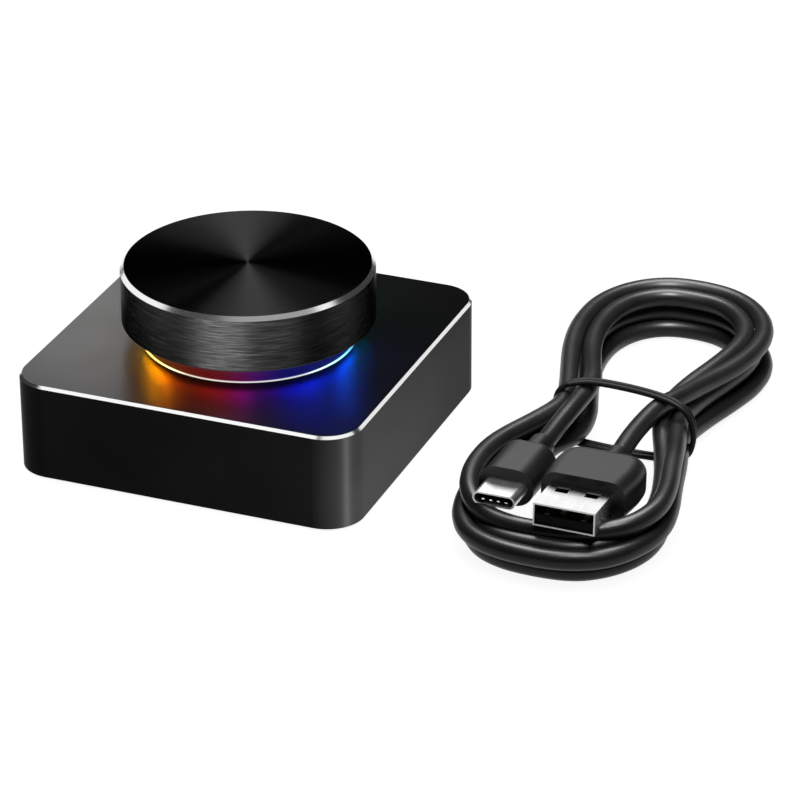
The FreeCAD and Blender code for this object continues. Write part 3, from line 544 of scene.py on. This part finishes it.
def nurbs(name, pts, radius, cyclic=False, res=10, bevel_res=6):
    cu = bpy.data.curves.new(name, "CURVE")
    cu.dimensions = "3D"
    sp = cu.splines.new("NURBS")
    sp.points.add(len(pts) - 1)
    for p, q in zip(sp.points, pts):
        p.co = (q[0] * MM, q[1] * MM, q[2] * MM, 1.0)
    sp.use_cyclic_u = cyclic
    sp.order_u = 3
    sp.use_endpoint_u = not cyclic
    sp.resolution_u = res
    cu.bevel_depth = radius
    cu.bevel_resolution = bevel_res
    cu.use_fill_caps = True
    ob = bpy.data.objects.new(name, cu)
    bpy.context.scene.collection.objects.link(ob)
    return ob


def jacket_material():
    """Soft PVC jacket: satin black, faint extrusion grain, slight gloss patches."""
    M = Mat("cable_jacket", Roughness=0.36)
    M.set("Specular IOR Level", 0.20)
    v = M.coords()
    fine = M.noise(v, 1800.0, 2.0)
    cloud = M.noise(v, 90.0, 2.0)
    M.to("Base Color", M.ramp(cloud, [(0.3, rgb("090909")), (0.7, rgb("0d0d0d"))]))
    M.to("Roughness", M.rng(cloud, 0.3, 0.7, 0.33, 0.39))
    M.bump(fine, 0.15, 0.00003)
    return M.m


cable = nurbs("cable", route, CABLE_D / 2)
cable.data.materials.append(jacket_material())
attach(cable, "cable")
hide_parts("cable_hank", "cable_lead_c", "cable_lead_a")

# twist tie: two turns side by side
tie_pts = [
    (60.2, 14.6, 12.95), (62.6, 15.6, 13.40), (66.0, 16.0, 13.55), (70.0, 15.8, 13.6), (74.0, 15.4, 13.6), (78.0, 14.8, 13.50), (81.4, 14.2, 13.1),
    (84.0, 13.9, 12.1), (85.5, 13.9, 10.0), (86.0, 14.0, 7.2), (85.8, 14.2, 4.4), (84.8, 14.4, 2.0), (82.0, 14.2, 0.7),
    (77.0, 13.9, 0.62), (71.0, 13.8, 0.62), (65.0, 14.2, 0.62), (60.4, 14.8, 0.7), (58.2, 15.2, 2.0), (57.5, 15.2, 5.0), (57.5, 15.0, 8.6), (58.3, 14.8, 11.4),
    (60.4, 15.9, 12.95), (62.8, 16.9, 13.30), (66.0, 17.3, 13.45), (70.0, 17.1, 13.5), (74.0, 16.7, 13.5), (78.0, 16.1, 13.4), (81.4, 15.5, 13.0),
    (83.9, 15.2, 12.0), (85.3, 15.2, 10.0), (85.7, 15.3, 7.2), (85.5, 15.5, 4.4), (84.6, 15.7, 2.0), (82.0, 15.5, 0.7),
    (77.0, 15.2, 0.62), (71.0, 15.1, 0.62), (65.0, 15.5, 0.62), (60.6, 16.0, 0.7), (58.5, 16.5, 2.0), (57.8, 16.5, 5.0), (57.9, 16.3, 8.6), (58.7, 16.0, 11.2),
]
tie = nurbs("twist_tie", tie_pts, 0.55 * MM, False, 6, 4)
tie.data.materials.append(fine_plastic("tie_plastic", rgb("0a0a0a"), rgb("101010"), 0.48, 1500.0, 0.2, 0.06))
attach(tie, "cable")
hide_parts("cable_tie")

# ------------------------------------------------------------------ floor and light
floor_me = bpy.data.meshes.new("floor")
s = 4.0
floor_me.from_pydata([(-s, -s, 0), (s, -s, 0), (s, s, 0), (-s, s, 0)], [], [(0, 1, 2, 3)])
floor = bpy.data.objects.new("floor", floor_me)
floor.location.z = -0.00002
bpy.context.scene.collection.objects.link(floor)
F = Mat("floor", Roughness=0.9)
F.set("Specular IOR Level", 0.0)
F.to("Base Color", F.ramp(F.noise(F.coords(), 2.0, 1.0), [(0.0, (0.92,) * 3), (1.0, (0.94,) * 3)]))
F.set("Emission Color", (1.0, 1.0, 1.0))
F.set("Emission Strength", 0.90)
floor_me.materials.append(F.m)

scene = bpy.context.scene
scene.view_settings.view_transform = "Standard"
scene.view_settings.look = "None"

world = bpy.data.worlds.new("world")
world.use_nodes = True
world.node_tree.nodes["Background"].inputs[0].default_value = (1, 1, 1, 1)
world.node_tree.nodes["Background"].inputs[1].default_value = 0.04
scene.world = world


def group(name, objs):
    c = bpy.data.collections.new(name)
    for o in objs:
        c.objects.link(o)
    return c


G_FLOOR = group("lit_floor", [floor])
G_HOUSING = group("lit_housing", [nodes["housing"]])
G_KNOB = group("lit_knob", [nodes["knob_shell"]])
G_BODY = group("lit_body", [nodes["housing"], nodes["knob_shell"]])
G_PLUGS = group("lit_plugs", [nodes[n] for n in nodes if n.startswith("usb_a_plug") or n.startswith("usb_c_plug")])
G_SHELLS = group("lit_shells", [nodes["usb_c_plug_shell"], nodes["usb_c_plug_contacts"]])
G_METAL = group("lit_metal", [nodes["usb_a_plug_shell"], nodes["usb_c_plug_shell"]])
G_GRIPS = group("lit_grips", [nodes["usb_a_plug_grip"], nodes["usb_c_plug_grip"]])
G_CORD = group("lit_cord", [cable, tie])


def card(name, loc, aim, size, radiance, only=None, colour=(1, 1, 1), spread=180.0, blockers=None, roll=0.0):
    """Rectangular studio card, set by its brightness; only = the objects it is flagged to."""
    d = bpy.data.lights.new(name, "AREA")
    d.shape = "RECTANGLE"
    d.size, d.size_y = size
    d.energy = radiance * math.pi * size[0] * size[1]
    d.color = colour
    d.spread = math.radians(spread)
    o = bpy.data.objects.new(name, d)
    o.location = loc
    turn = (Vector(aim) - Vector(loc)).to_track_quat("-Z", "Y").to_matrix() @ Matrix.Rotation(math.radians(roll), 3, "Z")
    o.rotation_euler = turn.to_euler()
    o.visible_camera = False
    bpy.context.scene.collection.objects.link(o)
    if only is not None:
        o.light_linking.receiver_collection = only
    if blockers is not None:
        o.light_linking.blocker_collection = blockers
    return o


# whitens the floor
card("floor_wash", (0.05, 0.10, 1.2), (0.04, 0.02, 0.0), (1.6, 1.6), 0.42, G_FLOOR)
# cord: soft box above and behind
card("cord_top", (-0.05, 0.34, 0.72), (0.07, 0.0, 0.0), (0.48, 0.48), 26.0, G_CORD)
card("cord_far_bow", (0.11, -0.03, 0.24), (0.07, 0.072, 0.0), (0.09, 0.09), 13.0, G_CORD, spread=66.0)
card("grip_top", (-0.05, 0.34, 0.72), (0.07, 0.0, 0.0), (0.40, 0.40), 17.0, G_GRIPS)
card("shell_top", (0.02, -0.12, 0.60), (0.07, -0.03, 0.01), (0.70, 0.70), 1.5, G_SHELLS)
# plugs: card close behind them
card("plug_card", (0.008, 0.135, 0.104), (0.072, -0.025, 0.012), (0.10, 0.09), 1.25, G_PLUGS)
card("plug_card_c", (0.004, 0.135, 0.104), (0.062, -0.012, 0.012), (0.10, 0.09), 1.6, G_SHELLS)
# the shells from above and from in front, so that they shine from the other sides too
card("shells_above", (0.07, -0.02, 0.90), (0.07, -0.02, 0.0), (0.70, 0.70), 1.0, G_METAL)
card("shells_front", (0.12, -0.60, 0.30), (0.07, -0.02, 0.01), (0.60, 0.40), 0.8, G_METAL)
# base: sheen across the left of the top, bright corner, cut edges
card("sheen", (-0.0655, 0.050, 0.050), (-0.033, -0.02, 0.0197), (0.034, 0.050), 2.7, G_HOUSING)
card("corner_strip", (0.1040, -0.0420, -0.0265), (0.0334, -0.0322, 0.010), (0.011, 0.080), 245.0, G_HOUSING, blockers=G_HOUSING)
card("right_edge", (0.26, 0.42, 0.185), (0.035, 0.0, 0.0195), (0.30, 0.16), 0.9, G_HOUSING)
card("front_edge", (-0.38, -0.54, 0.95), (0.0, -0.035, 0.0195), (0.42, 0.42), 1.1, G_HOUSING)
# knob and cut edges: big soft box overhead, a left card, a front box, and the strip for the spun top
card("top_soft", (0.30, -0.05, 0.95), (0.0, 0.0, 0.03), (1.15, 1.05), 1.0, G_HOUSING)
card("top_soft_knob", (0.30, -0.05, 0.95), (0.0, 0.0, 0.03), (1.15, 1.05), 0.30, G_KNOB)
card("knob_edge_right", (0.38, 0.148, 0.475), (0.0, 0.0, 0.035), (0.14, 0.14), 0.8, G_KNOB)
card("left_card", (-0.43, 0.06, 0.255), (0.0, 0.0, 0.03), (0.56, 0.13), 1.0, G_KNOB, roll=35.0)
card("front_box", (0.01, -0.50, 0.12), (0.0, 0.0, 0.03), (0.38, 0.22), 40.0, G_KNOB)
card("front_right_box", (0.36, -0.34, 0.12), (0.0, 0.0, 0.03), (0.30, 0.20), 9.0, G_KNOB)
card("front_left_box", (-0.42, -0.27, 0.12), (0.0, 0.0, 0.03), (0.22, 0.20), 3.5, G_KNOB)
card("top_strip", (-0.1215, 0.302, 0.417), (0.0, 0.0, 0.035), (0.05, 0.26), 7.4, G_KNOB)
card("knob_right", (0.45, 0.18, 0.10), (0.0, 0.0, 0.03), (0.20, 0.12), 10.0, G_KNOB)
card("top_strip_left", (-0.045, 0.320, 0.420), (0.0, 0.0, 0.035), (0.05, 0.26), 0.8, G_KNOB)
